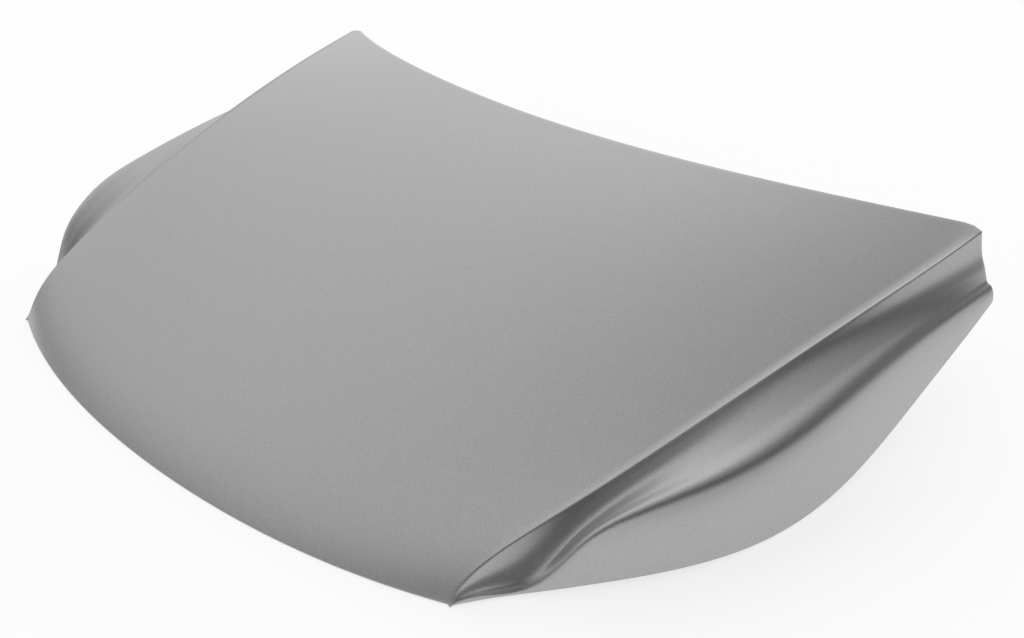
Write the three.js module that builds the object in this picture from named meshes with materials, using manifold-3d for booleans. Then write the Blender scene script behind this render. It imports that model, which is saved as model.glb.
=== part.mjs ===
// Car bonnet of the clamshell type: a crowned panel between two side creases, with a sculpted
// flank outside each crease. A pressed outer skin is hemmed round a ribbed inner panel, with
// hinge and latch reinforcements, weld nuts, a striker loop and mastic pads between the sheets.
// Millimetres. +X is the car's left, +Y its rear, +Z up. The origin is under the middle of the box.
import * as THREE from "three";
import { mergeVertices } from "three/addons/utils/BufferGeometryUtils.js";
import Module from "manifold-3d";

const wasm = await Module();
wasm.setup();

// Plan of the panel between the creases
const noseHalfWidth = 516; // half the distance between the creases at the front corners
const cowlHalfWidth = 725; // and at the rear corners
const sideLength = 931; // front corner to rear corner, along Y
const frontBow = 89; // the front edge bows this far ahead of its corners
const rearBow = 172; // the windscreen edge hollows this far forward of its corners
const creaseBow = { middle: 26.5, skew: 5.2, ends: 8 }; // the creases bow outwards in plan
const cornerRun = 30; // length of the rounding at each rear corner, along X
const cornerDrop = 20.7; // and its depth, along Y

// Heights
const cowlRise = 251; // rear corners above the front edge
const creaseRise = { middle: 21.9, skew: -2.8, ends: -5 }; // the creases arch upwards
const noseRoll = 41.4; // the panel rolls down to its front edge by this much at the corners
const noseRollLength = 33; // over about this length
const noseRollMiddle = 0.45; // share of the roll that is left on the centre line
const cowlCrown = 35; // middle of the rear edge above its corners
const panelCrown = 8; // extra crown in the middle of the panel

// How square each bowed edge is: 0 is a parabola, 1 is flat in the middle and quick at the ends
const frontSquareness = 0.157;
const rearSquareness = 0.362;
const cowlSquareness = 1.197;

// The flank, by its character lines at stations along the side, from front corner to rear corner.
// Each line is given by how far out of the crease it lies, and how far down or above the floor.
const stations = [0, 0.05, 0.1, 0.15, 0.2, 0.3, 0.4, 0.6, 0.8, 1];
const valleyOut = [2, 12, 24, 24, 22, 23, 24, 20, 17, 15.5];
const valleyDown = [0, 28, 40, 22, 12, 10, 11, 17, 37, 56];
const haunchOut = [3.5, 18, 37, 52, 65, 84, 87, 65, 38, 24];
const haunchDown = [0, 39, 47, 10, -4, 0.5, 15, 36, 56, 78];
const hemOut = [5, 19, 40, 61.5, 81, 107, 113, 91, 58.5, 38];
const hemHeight = [0, 2, 4.5, 7, 8.5, 7.5, 3.5, 14, 68, 145];

// Further points of the flank's section, as shares of the way between two character lines
const footShare = { out: 0.42, down: 0.6 }; // crease to valley: steep at first
const riseShare = { out: 0.5, down: 0.54 }; // valley to haunch
const shoulderShare = { out: 0.62, down: 0.15 }; // haunch to hem: the rounded shoulder
const wallShare = { out: 0.93, down: 0.53 }; // and the nearly upright wall

// Sheet and hem
const skinThickness = 0.8;
const innerThickness = 0.7;
const seat = 0.6; // clearance between the sheets of the hem
const hemWidth = 11;
const hemStrip = 15; // width of the flat strip inside the edge of the flank, wider than the hem
const frontStrip = 0.015; // the same strip along the front edge, as a share of the length
const rearStrip = 0.984; // and where it starts along the windscreen edge
const shortShare = 0.45; // on a short flank section the strip is this share of it
const innerInset = 1.5; // the inner panel's edge stops this far inside the fold
const cornerRelief = 16; // radius of the round relief at each corner of the inner panel

// Inner panel: how deep each zone lies below the skin
const fieldDepth = 6;
const channelDepth = 20;
const shoulderDepth = 12;
const flankDepth = 14;
const rampSlope = 0.8; // fall of the wall inside the strip that the hem grips

// Zones of the inner panel, as shares of the half width (ribs) and of the length (channels)
const sideChannel = [0.78, 0.8, 0.93, 0.95];
const frontChannel = [-1, 0, 0.19, 0.21];
const middleRib = [0.48, 0.5, 0.56, 0.58];
const rearChannel = [0.8, 0.83, 1, 2];
const ribCentres = [0, 0.4];
const ribTop = 0.02;
const ribFoot = 0.045;

// Grid of the sheets: the zones' limits, and these
const noseRows = [0.045, 0.08, 0.155]; // they follow the roll of the nose and the start of the haunch
const widestRow = 0.09;
const shoulderColumn = 0.975;
const widestColumn = 0.115;
const flankFacets = 7; // from the crease to the strip of the hem
const stripStart = 0.9; // where that strip starts in the count across the flank

// Lightening holes, one in each bay between the ribs
const bayHoleWidth = 124;
const bayHoleMargin = 0.035; // share of the length left at each end of a bay
const bayHoleRadius = 30;
const toolingHoleRadius = 12;
const sideToolingHoles = [0.29, 0.41, 0.69]; // along the side channels
const rearToolingHoles = { across: [0.2, 0.57], along: 0.89 };

// Hinge seats and their reinforcement
const hingeSeat = { across: [0.8, 0.93], along: [0.83, 0.955], below: 24 };
const hingePlate = { share: 0.82, thickness: 2, radius: 10 }; // its share of the seat
const hingeBoltPitch = 60;
const hingeBoltHole = 4.6;
const hingeNut = { flats: 13, height: 6.5, bore: 3.4 };

// Latch seat, striker and their fasteners
const latchSeat = { across: [-0.1, 0.1], along: [0.12, 0.19], below: 20 };
const latchPlate = { beyondBolt: 13, length: 50, thickness: 1.5, radius: 8 };
const strikerPlate = { beyondBolt: 10, length: 42, thickness: 2.5, radius: 9 };
const strikerBoltPitch = 72;
const strikerBoltHole = 3.6;
const strikerBolt = { shank: 3, flats: 10, head: 5, reach: 12 };
const strikerNut = { flats: 10, height: 5, bore: 3.3 };
const strikerWire = 4; // radius of the loop's wire
const strikerHalfWidth = 18; // centre line of a leg from the middle
const strikerHeight = 30; // plate to the loop's centre line
const strikerBend = 11;
const weldGap = 0.3; // clearance between parts that touch

// Mastic pads between the skin and the inner panel
const masticWidth = 15;
const masticLength = 44;
const masticClearance = 0.45;
const masticOffset = 12; // from the edge of a lightening hole to the middle of a pad

const finishes = {
  paintedSkin: { color: 0x9b9c9d, roughness: 0.38, metalness: 0.75 },
  primedSteel: { color: 0x858789, roughness: 0.5, metalness: 0.6 },
  zincSteel: { color: 0xb4b2a8, roughness: 0.35, metalness: 0.9 },
  mastic: { color: 0x3a3b3d, roughness: 0.85, metalness: 0 },
};

// Curves

// Natural cubic spline through one value at each station.
function throughStations(values) {
  const last = stations.length - 1;
  const step = stations.map((s, i) => (i < last ? stations[i + 1] - s : 0));
  const slope = values.map((v, i) => (i < last ? (values[i + 1] - v) / step[i] : 0));
  const bend = new Array(last + 1).fill(0);
  const lead = new Array(last + 1).fill(0);
  const load = new Array(last + 1).fill(0);
  for (let i = 1; i < last; i++) {
    const pivot = 2 * (step[i - 1] + step[i]) - step[i - 1] * lead[i - 1];
    lead[i] = step[i] / pivot;
    load[i] = (6 * (slope[i] - slope[i - 1]) - step[i - 1] * load[i - 1]) / pivot;
  }
  for (let i = last - 1; i > 0; i--) bend[i] = load[i] - lead[i] * bend[i + 1];
  return (t) => {
    let i = 0;
    while (i < last - 1 && t > stations[i + 1]) i++;
    const right = (t - stations[i]) / step[i];
    const left = 1 - right;
    const curve = (left ** 3 - left) * bend[i] + (right ** 3 - right) * bend[i + 1];
    return left * values[i] + right * values[i + 1] + (step[i] ** 2 / 6) * curve;
  };
}
const lines = {
  valleyOut: throughStations(valleyOut),
  valleyDown: throughStations(valleyDown),
  haunchOut: throughStations(haunchOut),
  haunchDown: throughStations(haunchDown),
  hemOut: throughStations(hemOut),
  hemHeight: throughStations(hemHeight),
};

const lerp = THREE.MathUtils.lerp;
const clamp = THREE.MathUtils.clamp;
const bowed = (u, squareness) => (1 - squareness) * u ** 2 + squareness * u ** 4;
const arch = (t, a) => 4 * t * (1 - t) * (a.middle + a.skew * (1 - 2 * t) + a.ends * (1 - 2 * t) ** 2);
const roll = (t) => noseRoll * (1 - Math.exp((-t * sideLength) / noseRollLength)) * (1 - t);
const creaseX = (t) => lerp(noseHalfWidth, cowlHalfWidth, t) + arch(t, creaseBow);
const creaseZ = (t) => cowlRise * t + arch(t, creaseRise) + roll(t);

// The outer surface between the creases. u runs from -1 to 1 across it, t from 0 to 1 along it.
function panelPoint(u, t) {
  const front = -frontBow * (1 - bowed(u, frontSquareness));
  const beyond = Math.max(0, (Math.abs(u) - 1) * cowlHalfWidth + cornerRun) / cornerRun;
  const rounding = cornerDrop * beyond ** 2 * t ** 12;
  const rear = sideLength - rearBow + (rearBow + cornerDrop) * bowed(u, rearSquareness) - rounding;
  const cowl = cowlRise + cowlCrown * (1 - bowed(u, cowlSquareness));
  const rollShare = lerp(noseRollMiddle, 1, u ** 4);
  const crown = panelCrown * (1 - u ** 2) * 4 * t * (1 - t);
  const height = cowl * t + arch(t, creaseRise) + roll(t) * rollShare + crown;
  return new THREE.Vector3(u * creaseX(t), lerp(front, rear, t), height);
}

// Section of the flank at t, as a curve of (out, down) from the crease to the hem.
function flankSection(t) {
  const valley = new THREE.Vector2(lines.valleyOut(t), lines.valleyDown(t));
  const haunch = new THREE.Vector2(lines.haunchOut(t), lines.haunchDown(t));
  const hem = new THREE.Vector2(lines.hemOut(t), creaseZ(t) - lines.hemHeight(t));
  const between = (a, b, share) => new THREE.Vector2(lerp(a.x, b.x, share.out), lerp(a.y, b.y, share.down));
  const crease = new THREE.Vector2(0, 0);
  return new THREE.SplineCurve([
    crease,
    between(crease, valley, footShare),
    valley,
    between(valley, haunch, riseShare),
    haunch,
    between(haunch, hem, shoulderShare),
    between(haunch, hem, wallShare),
    hem,
  ]);
}
function stripWidth(t) {
  return Math.min(hemStrip, shortShare * flankSection(t).getLength());
}

// Point of the flank. v runs from 0 at the crease to 1 at the hem, with the strip from stripStart.
function flankPoint(v, t, side) {
  const section = flankSection(t);
  const start = section.getUtoTmapping(1 - stripWidth(t) / section.getLength());
  const s = v < stripStart ? (v / stripStart) * start : lerp(start, 1, (v - stripStart) / (1 - stripStart));
  const p = section.getPoint(s);
  return new THREE.Vector3(side * (creaseX(t) + p.x), sideLength * t, creaseZ(t) - p.y);
}

// The whole outer surface: across runs from -2 to 2, with the creases at -1 and 1.
function skinPoint(across, t) {
  if (Math.abs(across) <= 1) return panelPoint(across, t);
  return flankPoint(Math.abs(across) - 1, t, Math.sign(across));
}

// Grids: rows of points, from front to rear, each from the right hem to the left hem

// Every limit in order, with lines added between them wherever they lie further apart than widest.
function gridLines(limits, widest) {
  const sorted = [...new Set(limits)].sort((a, b) => a - b);
  const spans = sorted.slice(1).map((next, i) => ({ from: sorted[i], to: next }));
  const lines = spans.flatMap(({ from, to }) => {
    const parts = Math.ceil((to - from) / widest - 1e-9);
    return Array.from({ length: parts }, (_, k) => lerp(from, to, k / parts));
  });
  return [...lines, sorted.at(-1)];
}
const ribLimits = ribCentres.flatMap((c) => [c - ribFoot, c - ribTop, c + ribTop, c + ribFoot]);
const channelLimits = [frontChannel, middleRib, rearChannel].flat().filter((t) => t > 0 && t < 1);
const rows = gridLines(
  [0, frontStrip, ...noseRows, ...latchSeat.along, ...channelLimits, ...hingeSeat.along, rearStrip, 1],
  widestRow,
);
const panelColumns = gridLines(
  [...ribLimits.filter((u) => u > 0), latchSeat.across[1], ...sideChannel, ...hingeSeat.across, shoulderColumn, 1],
  widestColumn,
);
const flankColumns = Array.from({ length: flankFacets }, (_, k) => (stripStart * (k + 1)) / flankFacets);

const halfColumns = [...panelColumns, ...[...flankColumns, 1].map((v) => 1 + v)];
const columns = [...halfColumns.map((across) => -across).reverse(), ...halfColumns];

// Mean of the facet normals round each point of a grid, lengthened so that a shell offset along
// it keeps its thickness across a sharp edge.
function gridNormals(grid) {
  return grid.map((row, i) =>
    row.map((p, j) => {
      const facets = [];
      for (const di of [-1, 1]) {
        for (const dj of [-1, 1]) {
          const alongRow = grid[i][j + dj];
          const alongColumn = grid[i + di]?.[j];
          if (!alongRow || !alongColumn) continue;
          const facet = alongRow.clone().sub(p).cross(alongColumn.clone().sub(p));
          facets.push(facet.multiplyScalar(di * dj).normalize());
        }
      }
      const mean = facets.reduce((sum, f) => sum.add(f), new THREE.Vector3()).normalize();
      const spread = facets.reduce((sum, f) => sum + mean.dot(f), 0) / facets.length;
      return mean.divideScalar(Math.max(spread, 0.6));
    }),
  );
}

// The edge of a grid as a loop of [row, column], anticlockwise from above.
function edgeLoop(grid) {
  const lastRow = grid.length - 1;
  const lastColumn = grid[0].length - 1;
  const loop = [];
  for (let j = 0; j < lastColumn; j++) loop.push([0, j]);
  for (let i = 0; i < lastRow; i++) loop.push([i, lastColumn]);
  for (let j = lastColumn; j > 0; j--) loop.push([lastRow, j]);
  for (let i = lastRow; i > 0; i--) loop.push([i, 0]);
  return loop;
}

// For each point of the loop, the direction out of the sheet, mitred at the corners.
function edgeOutwards(grid, normals, loop) {
  const at = (k) => loop[(k + loop.length) % loop.length];
  return loop.map(([i, j], k) => {
    const [before, after] = [at(k - 1), at(k + 1)].map(([r, c]) => grid[r][c]);
    const n = normals[i][j].clone().normalize();
    const first = grid[i][j].clone().sub(before).cross(n).normalize();
    const second = after.clone().sub(grid[i][j]).cross(n).normalize();
    const mitre = first.clone().add(second);
    return mitre.multiplyScalar(2 / mitre.lengthSq());
  });
}

// Closed mesh from an upper grid, the loops round its edge and a lower grid. The left half is
// split into triangles as a mirror image of the right half.
function sheetGeometry(upper, loops, lower) {
  const positions = [];
  const indices = [];
  const add = (p) => positions.push(p.x, p.y, p.z) / 3 - 1;
  const upperIds = upper.map((row) => row.map(add));
  const lowerIds = lower.map((row) => row.map(add));
  const loop = edgeLoop(upper);
  const bands = [
    loop.map(([i, j]) => upperIds[i][j]),
    ...loops.map((band) => band.map(add)),
    loop.map(([i, j]) => lowerIds[i][j]),
  ];
  const middle = upper[0].length - 1;
  const addQuad = (a, b, c, d, columnSum) =>
    indices.push(...(columnSum > middle ? [a, b, d, b, c, d] : [a, b, c, a, c, d]));
  for (let i = 0; i + 1 < upper.length; i++) {
    for (let j = 0; j + 1 < upper[0].length; j++) {
      const corners = (ids) => [ids[i][j], ids[i][j + 1], ids[i + 1][j + 1], ids[i + 1][j]];
      const [a, b, c, d] = corners(lowerIds);
      addQuad(...corners(upperIds), j + j + 1);
      addQuad(a, d, c, b, j + j + 1);
    }
  }
  for (let band = 0; band + 1 < bands.length; band++) {
    for (let k = 0; k < loop.length; k++) {
      const next = (k + 1) % loop.length;
      const [a, b] = [bands[band][k], bands[band][next]];
      const [c, d] = [bands[band + 1][next], bands[band + 1][k]];
      addQuad(a, d, c, b, loop[k][1] + loop[next][1]);
    }
  }
  const geometry = new THREE.BufferGeometry();
  geometry.setAttribute("position", new THREE.Float32BufferAttribute(positions, 3));
  geometry.setIndex(indices);
  return geometry;
}

const skinGrid = rows.map((t) => columns.map((across) => skinPoint(across, t)));
const skinNormals = gridNormals(skinGrid);
const skinEdge = edgeLoop(skinGrid);
const edgeWays = edgeOutwards(skinGrid, skinNormals, skinEdge);

// Outer skin: the sheet, folded under round its whole edge to grip the inner panel.
function outerSkin() {
  const lower = skinGrid.map((row, i) =>
    row.map((p, j) => p.clone().addScaledVector(skinNormals[i][j], -skinThickness)),
  );
  const stack = 2 * skinThickness + innerThickness + 2 * seat;
  const fold = (out, down) =>
    skinEdge.map(([i, j], k) =>
      skinGrid[i][j].clone().addScaledVector(edgeWays[k], out).addScaledVector(skinNormals[i][j], -down),
    );
  // The hem ends part of the way from each edge point to the next point inside it.
  const hemEnd = (down) =>
    skinEdge.map(([i, j]) => {
      const [row, column] = [clamp(i, 1, rows.length - 2), clamp(j, 1, columns.length - 2)];
      const share = hemWidth / hemStrip;
      const [edge, inside] = [skinNormals[i][j], skinNormals[row][column]];
      const normal = edge.clone().lerp(inside, share).setLength(lerp(edge.length(), inside.length(), share));
      return skinGrid[i][j].clone().lerp(skinGrid[row][column], share).addScaledVector(normal, -down);
    });
  const loops = [
    fold(stack / 2, stack / 2),
    fold(0, stack),
    hemEnd(stack),
    hemEnd(stack - skinThickness),
    fold(0, stack - skinThickness),
  ];
  return sheetGeometry(skinGrid, loops, lower);
}

// Inner panel

// 0 outside a raised strip, 1 on its top, with a ramp at each side.
function strip(x, [start, top, topEnd, end]) {
  return Math.min(clamp((x - start) / (top - start), 0, 1), clamp((end - x) / (end - topEnd), 0, 1));
}

function zoneDepth(across, t) {
  const u = Math.abs(across);
  if (u > 1) return flankDepth;
  const ribs = ribCentres.map((c) => strip(u, [c - ribFoot, c - ribTop, c + ribTop, c + ribFoot]));
  const along = [frontChannel, middleRib, rearChannel].map((zone) => strip(t, zone));
  const base = u > sideChannel[2] ? shoulderDepth : fieldDepth;
  return lerp(base, channelDepth, Math.max(strip(u, sideChannel), ...ribs, ...along));
}

// Distance from a point of the skin to the nearest strip that the hem grips.
function stripDistance(across, t) {
  const side = Math.sign(across) * (1 + stripStart);
  const strips = [skinPoint(across, rows[1]), skinPoint(across, rows.at(-2)), skinPoint(side, t)];
  return Math.min(...strips.map((q) => q.distanceTo(skinPoint(across, t))));
}
const isHeld = (i, j) => Math.min(i, rows.length - 1 - i, j, columns.length - 1 - j) < 2;

const within = (x, [low, high]) => x >= low - 1e-9 && x <= high + 1e-9;
const middleOf = ([low, high]) => (low + high) / 2;
const isHingeSeat = (across, t) => within(Math.abs(across), hingeSeat.across) && within(t, hingeSeat.along);
const isLatchSeat = (across, t) => within(across, latchSeat.across) && within(t, latchSeat.along);
const hingeSeatCentre = panelPoint(middleOf(hingeSeat.across), middleOf(hingeSeat.along));
const latchSeatCentre = panelPoint(0, middleOf(latchSeat.along));
const hingeSeatZ = hingeSeatCentre.z - hingeSeat.below;
const latchSeatZ = latchSeatCentre.z - latchSeat.below;

// The sheet leaves the skin straight down under the panel, and turns inwards down the flank.
function inwards(across) {
  const turn = THREE.MathUtils.degToRad(58) * Math.max(0, Math.abs(across) - 1);
  return new THREE.Vector3(-Math.sign(across) * Math.sin(turn), 0, -Math.cos(turn));
}

function innerPanelSheet() {
  const edgeWay = new Map(skinEdge.map((spot, k) => [spot.join(), edgeWays[k]]));
  const flat = (across, t) => isHingeSeat(across, t) || isLatchSeat(across, t);
  const upper = skinGrid.map((row, i) =>
    row.map((p, j) => {
      const [across, t] = [columns[j], rows[i]];
      if (isHingeSeat(across, t)) return new THREE.Vector3(p.x, p.y, hingeSeatZ);
      if (isLatchSeat(across, t)) return new THREE.Vector3(p.x, p.y, latchSeatZ);
      const room = isHeld(i, j) ? 0 : rampSlope * stripDistance(across, t);
      const moved = p.clone().addScaledVector(skinNormals[i][j], -(skinThickness + seat));
      moved.addScaledVector(inwards(across), Math.min(zoneDepth(across, t), room));
      const out = edgeWay.get([i, j].join());
      return out ? moved.addScaledVector(out, -innerInset) : moved;
    }),
  );
  const own = gridNormals(upper);
  const lower = upper.map((row, i) =>
    row.map((p, j) => {
      const [across, t] = [columns[j], rows[i]];
      if (flat(across, t)) return p.clone().setZ(p.z - innerThickness);
      if (isHeld(i, j)) return p.clone().addScaledVector(skinNormals[i][j], -innerThickness);
      const way = inwards(across);
      const lean = Math.max(0.5, -way.dot(own[i][j].clone().normalize()));
      return p.clone().addScaledVector(way, innerThickness / lean);
    }),
  );
  return sheetGeometry(upper, [], lower);
}

// Outline with rounded corners through four points.
function roundedOutline(points, radius) {
  const shape = new THREE.Shape();
  points.forEach((corner, k) => {
    const before = points[(k + points.length - 1) % points.length];
    const after = points[(k + 1) % points.length];
    const start = corner.clone().add(before.clone().sub(corner).setLength(radius));
    const end = corner.clone().add(after.clone().sub(corner).setLength(radius));
    if (k === 0) shape.moveTo(start.x, start.y);
    else shape.lineTo(start.x, start.y);
    shape.quadraticCurveTo(corner.x, corner.y, end.x, end.y);
  });
  shape.closePath();
  return shape;
}
// A plate reaches a little beyond each of its two bolts.
function plateCorners({ beyondBolt, length }, pitch) {
  const [x, y] = [pitch / 2 + beyondBolt, length / 2];
  return [[-x, -y], [x, -y], [x, y], [-x, y]].map(([a, b]) => new THREE.Vector2(a, b));
}
function extruded(shape, height, curveSegments) {
  return new THREE.ExtrudeGeometry(shape, { depth: height, bevelEnabled: false, curveSegments });
}
function roundHole(x, y, radius) {
  const hole = new THREE.Path();
  hole.absarc(x, y, radius, 0, 2 * Math.PI, true);
  return hole;
}

// Bays of the inner panel: spans between ribs, on both sides, in front of and behind the middle rib.
const baySpans = [
  [ribCentres[0] + ribFoot, ribCentres[1] - ribFoot],
  [ribCentres[1] + ribFoot, sideChannel[0]],
];
const bayRanges = [
  [frontChannel[3], middleRib[0]],
  [middleRib[3], rearChannel[0]],
];
const bays = [-1, 1].flatMap((side) =>
  baySpans.flatMap((span) => bayRanges.map((range) => ({ side, u: side * middleOf(span), range }))),
);
const bayEnds = ({ range }) => [range[0] + bayHoleMargin, range[1] - bayHoleMargin];

function bayHoleShape(bay) {
  const [start, end] = bayEnds(bay).map((t) => panelPoint(bay.u, t));
  const corner = (p, side) => new THREE.Vector2(p.x + (side * bayHoleWidth) / 2, p.y);
  return roundedOutline([corner(start, -1), corner(start, 1), corner(end, 1), corner(end, -1)], bayHoleRadius);
}
const toolingHoles = [-1, 1].flatMap((side) => [
  ...sideToolingHoles.map((t) => panelPoint(side * middleOf(sideChannel), t)),
  ...rearToolingHoles.across.map((u) => panelPoint(side * u, rearToolingHoles.along)),
]);
const hingeBolts = (side) =>
  [-1, 1].map((end) => [side * hingeSeatCentre.x, hingeSeatCentre.y + (end * hingeBoltPitch) / 2]);
const strikerBolts = [-1, 1].map((side) => [(side * strikerBoltPitch) / 2, latchSeatCentre.y]);

// Booleans
function solidFrom(geometry) {
  const plain = geometry.clone();
  plain.deleteAttribute("normal");
  plain.deleteAttribute("uv");
  const merged = mergeVertices(plain, 1e-4);
  const mesh = new wasm.Mesh({
    numProp: 3,
    vertProperties: merged.attributes.position.array,
    triVerts: new Uint32Array(merged.index.array),
  });
  return new wasm.Manifold(mesh);
}
function geometryFrom(solid) {
  const mesh = solid.getMesh();
  const geometry = new THREE.BufferGeometry();
  geometry.setAttribute("position", new THREE.BufferAttribute(mesh.vertProperties, 3));
  geometry.setIndex(new THREE.BufferAttribute(mesh.triVerts, 1));
  return geometry;
}

function innerPanel() {
  const tall = 2 * (cowlRise + cowlCrown);
  const through = (shape, segments) => extruded(shape, tall, segments).translate(0, 0, -tall / 4);
  const circle = (x, y, radius) => {
    const shape = new THREE.Shape();
    shape.absarc(x, y, radius, 0, 2 * Math.PI);
    return shape;
  };
  const corners = [-2, 2].flatMap((across) => [skinPoint(across, 0), skinPoint(across, 1)]);
  const cuts = [
    ...bays.map((bay) => through(bayHoleShape(bay), 3)),
    ...toolingHoles.map((p) => through(circle(p.x, p.y, toolingHoleRadius), 8)),
    ...corners.map((p) => through(circle(p.x, p.y, cornerRelief), 8)),
    ...[-1, 1].flatMap(hingeBolts).map(([x, y]) => through(circle(x, y, hingeBoltHole), 6)),
    ...strikerBolts.map(([x, y]) => through(circle(x, y, strikerBoltHole), 6)),
  ];
  const sheet = cuts.reduce((rest, cut) => rest.subtract(solidFrom(cut)), solidFrom(innerPanelSheet()));
  return geometryFrom(sheet);
}

// Plates, nuts and bolts
function drilledPlate(corners, plate, holes, radius) {
  const shape = roundedOutline(corners, plate.radius);
  for (const [x, y] of holes) shape.holes.push(roundHole(x, y, radius));
  return extruded(shape, plate.thickness, 4);
}
function hexagon(flats) {
  const corners = Array.from({ length: 6 }, (_, k) => (k * Math.PI) / 3);
  const reach = flats / Math.sqrt(3);
  return new THREE.Shape(corners.map((a) => new THREE.Vector2(reach * Math.cos(a), reach * Math.sin(a))));
}
function hexNut({ flats, height, bore }) {
  const shape = hexagon(flats);
  shape.holes.push(roundHole(0, 0, bore));
  return extruded(shape, height, 6);
}
// Bolt with its head below z = 0 and its shank upwards.
function hexBolt({ shank, flats, head, reach }) {
  const body = new THREE.CylinderGeometry(shank, shank, reach + head / 2, 16);
  body.rotateX(Math.PI / 2).translate(0, 0, (reach - head / 2) / 2);
  const cap = extruded(hexagon(flats), head, 1).translate(0, 0, -head);
  return geometryFrom(solidFrom(cap).add(solidFrom(body)));
}

// The striker's wire: down one leg, across and up the other, from the plate at z = 0.
function strikerLoop() {
  const [x, z, bend] = [strikerHalfWidth, -strikerHeight, strikerBend];
  const route = new THREE.CurvePath();
  const v = (a, b) => new THREE.Vector3(a, 0, b);
  route.add(new THREE.LineCurve3(v(-x, 0), v(-x, z + bend)));
  route.add(new THREE.QuadraticBezierCurve3(v(-x, z + bend), v(-x, z), v(-x + bend, z)));
  route.add(new THREE.LineCurve3(v(-x + bend, z), v(x - bend, z)));
  route.add(new THREE.QuadraticBezierCurve3(v(x - bend, z), v(x, z), v(x, z + bend)));
  route.add(new THREE.LineCurve3(v(x, z + bend), v(x, 0)));
  const wire = new THREE.Shape();
  wire.absarc(0, 0, strikerWire, 0, 2 * Math.PI);
  const options = { steps: 16, extrudePath: route, curveSegments: 6 };
  return new THREE.ExtrudeGeometry(wire, options);
}

// A pad of mastic that fills the gap between the skin and the inner panel at one place.
function masticPad(u, t) {
  const steps = [2, 1];
  const centre = panelPoint(u, t);
  const du = masticWidth / creaseX(t);
  const dt = masticLength / centre.distanceTo(panelPoint(u, t + 0.1)) / 10;
  const patch = Array.from({ length: steps[0] + 1 }, (_, i) =>
    Array.from({ length: steps[1] + 1 }, (_, j) =>
      panelPoint(u + du * (j / steps[1] - 0.5), t + dt * (i / steps[0] - 0.5)),
    ),
  );
  const normals = gridNormals(patch);
  const shifted = (below, deeper) =>
    patch.map((row, i) =>
      row.map((p, j) => {
        const moved = p.clone().addScaledVector(normals[i][j], -below);
        return moved.setZ(p.z - below / normals[i][j].z - deeper);
      }),
    );
  const upper = shifted(skinThickness + masticClearance, 0);
  const lower = shifted(skinThickness + seat, fieldDepth - masticClearance);
  return sheetGeometry(upper, [], lower);
}

// Assembly
const bonnet = new THREE.Group();
const pieces = new THREE.Group();
bonnet.add(pieces);

function place(name, geometry, finish, x = 0, y = 0, z = 0) {
  const flatShaded = geometry.index ? geometry.toNonIndexed() : geometry;
  flatShaded.computeVertexNormals();
  const mesh = new THREE.Mesh(flatShaded, new THREE.MeshStandardMaterial(finishes[finish]));
  mesh.name = name;
  mesh.position.set(x, y, z);
  pieces.add(mesh);
  return mesh;
}

const skin = place("outer_skin", outerSkin(), "paintedSkin");
place("inner_panel", innerPanel(), "primedSteel");

const hingePlateZ = hingeSeatZ + weldGap;
const hingeNutZ = hingePlateZ + hingePlate.thickness + weldGap;
for (const [side, sideName] of [[1, "left"], [-1, "right"]]) {
  const [x, y] = [side * hingeSeatCentre.x, hingeSeatCentre.y];
  const holes = [-1, 1].map((end) => [0, (end * hingeBoltPitch) / 2]);
  const [inner, outer] = hingeSeat.across.map((u) => hingeSeat.along.map((t) => panelPoint(side * u, t)));
  const corners = [inner[0], outer[0], outer[1], inner[1]].map((p) =>
    new THREE.Vector2(p.x - x, p.y - y).multiplyScalar(hingePlate.share),
  );
  if (side < 0) corners.reverse();
  const plate = drilledPlate(corners, hingePlate, holes, hingeBoltHole);
  place("hinge_reinforcement_" + sideName, plate, "zincSteel", x, y, hingePlateZ);
  hingeBolts(side).forEach(([boltX, boltY], end) => {
    const name = "hinge_weld_nut_" + sideName + "_" + ["front", "rear"][end];
    place(name, hexNut(hingeNut), "zincSteel", boltX, boltY, hingeNutZ);
  });
}

const latchY = latchSeatCentre.y;
const boltSpots = [-1, 1].map((side) => [(side * strikerBoltPitch) / 2, 0]);
const latchPlateZ = latchSeatZ + weldGap;
const strikerPlateZ = latchSeatZ - innerThickness - weldGap - strikerPlate.thickness;
const latchCorners = plateCorners(latchPlate, strikerBoltPitch);
const latchSheet = drilledPlate(latchCorners, latchPlate, boltSpots, strikerBoltHole);
const strikerCorners = plateCorners(strikerPlate, strikerBoltPitch);
const strikerSheet = drilledPlate(strikerCorners, strikerPlate, boltSpots, strikerBoltHole);
place("latch_reinforcement", latchSheet, "zincSteel", 0, latchY, latchPlateZ);
place("striker_plate", strikerSheet, "zincSteel", 0, latchY, strikerPlateZ);
place("striker_loop", strikerLoop(), "zincSteel", 0, latchY, strikerPlateZ - weldGap);
strikerBolts.forEach(([x, y], k) => {
  const sideName = ["right", "left"][k];
  const nutZ = latchPlateZ + latchPlate.thickness + weldGap;
  place("striker_bolt_" + sideName, hexBolt(strikerBolt), "zincSteel", x, y, strikerPlateZ - weldGap);
  place("striker_weld_nut_" + sideName, hexNut(strikerNut), "zincSteel", x, y, nutZ);
});

const bayNames = ["inner", "outer"].flatMap((span) => ["front", "rear"].map((end) => span + "_" + end));
bays.forEach((bay, k) => {
  const sideName = bay.side > 0 ? "left" : "right";
  const t = middleOf(bayEnds(bay));
  const offset = (bayHoleWidth / 2 + masticOffset) / creaseX(t);
  for (const [edge, way] of [["near", -1], ["far", 1]]) {
    const u = bay.u + bay.side * way * offset;
    place(["mastic_pad", sideName, bayNames[k % bayNames.length], edge].join("_"), masticPad(u, t), "mastic");
  }
});

// The bonnet stands on z = 0, with the middle of its box over the origin.
const box = new THREE.Box3().setFromObject(skin);
pieces.position.set(0, -(box.min.y + box.max.y) / 2, -box.min.z);

export default bonnet;
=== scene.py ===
import math

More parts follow.
